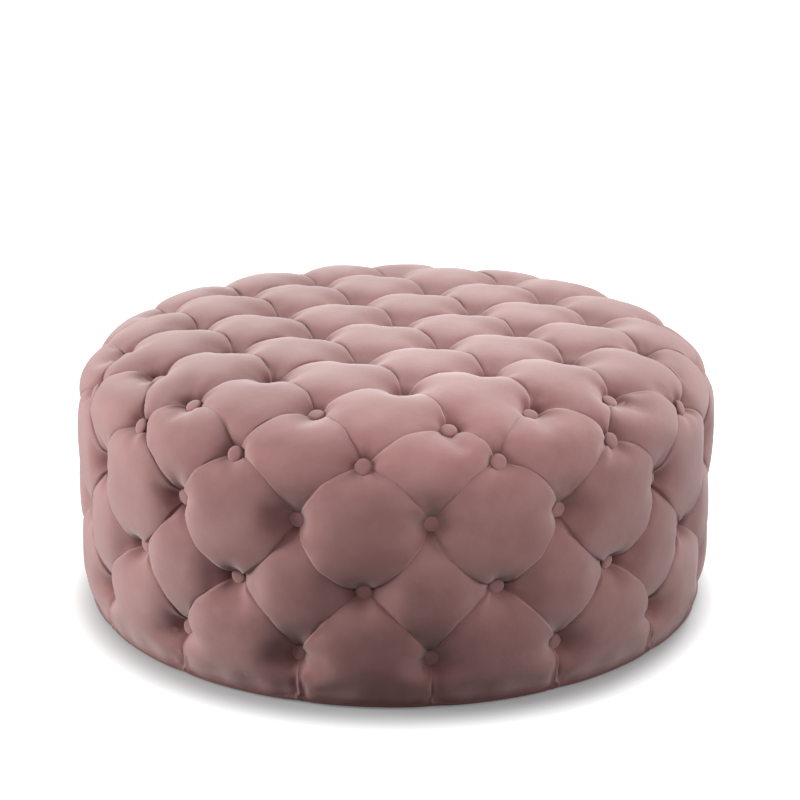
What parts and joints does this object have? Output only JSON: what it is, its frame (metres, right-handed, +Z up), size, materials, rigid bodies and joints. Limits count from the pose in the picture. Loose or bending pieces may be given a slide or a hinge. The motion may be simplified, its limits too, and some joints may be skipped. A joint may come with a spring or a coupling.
{
  "type": "tufted ottoman",
  "caption": "Low round drum-shaped ottoman, button-tufted in velvet all over the top and sides down to the hem, on a timber drum with small glides.",
  "frame": {"origin": "centre of the drum on the floor, under the glides", "axes": "+Z up along the drum's axis, -Y towards the front"},
  "size_m": [0.91, 0.91, 0.392],
  "materials": {
    "velvet": "short-pile dusty rose velvet with a soft sheen",
    "wadding": "bonded white polyester fibre wadding",
    "foam": "open-cell upholstery foam",
    "plywood": "sanded birch plywood",
    "bent_ply": "thin bending plywood",
    "softwood": "planed pine",
    "twine": "waxed tufting twine",
    "washer_fibre": "pressed fibre washer",
    "dust_cloth": "black spun-bonded dust cloth",
    "nylon": "moulded nylon",
    "zinc_steel": "zinc-plated steel"
  },
  "bodies": {
    "root": {"velvet_cover": "velvet", "buttons_row_1": "velvet", "buttons_row_2": "velvet", "buttons_row_3": "velvet", "buttons_row_4": "velvet", "buttons_rim": "velvet", "buttons_top": "velvet", "fibre_wadding": "wadding", "top_foam": "foam", "side_foam_front": "foam", "side_foam_rear": "foam", "base_hoop": "plywood", "top_deck": "plywood", "side_panel_1": "bent_ply", "side_panel_2": "bent_ply", "side_panel_3": "bent_ply", "side_panel_4": "bent_ply", "cross_rail_x": "softwood", "cross_rail_y": "softwood", "post_1": "softwood", "post_2": "softwood", "post_3": "softwood", "post_4": "softwood", "post_5": "softwood", "post_6": "softwood", "post_7": "softwood", "post_8": "softwood", "strut_1": "softwood", "strut_2": "softwood", "strut_3": "softwood", "strut_4": "softwood", "side_twines": "twine", "rim_twines": "twine", "top_twines": "twine", "side_washers": "washer_fibre", "rim_washers": "washer_fibre", "top_washers": "washer_fibre", "dust_cover": "dust_cloth", "glide_1": "nylon", "glide_2": "nylon", "glide_3": "nylon", "glide_4": "nylon", "glide_5": "nylon", "glide_6": "nylon", "glide_7": "nylon", "glide_8": "nylon", "deck_screws": "zinc_steel", "base_screws": "zinc_steel", "strut_screws": "zinc_steel", "rail_screws": "zinc_steel", "glide_screws": "zinc_steel", "panel_nails": "zinc_steel", "cover_staples": "zinc_steel", "dust_cover_staples": "zinc_steel"}
  },
  "joints": []
}
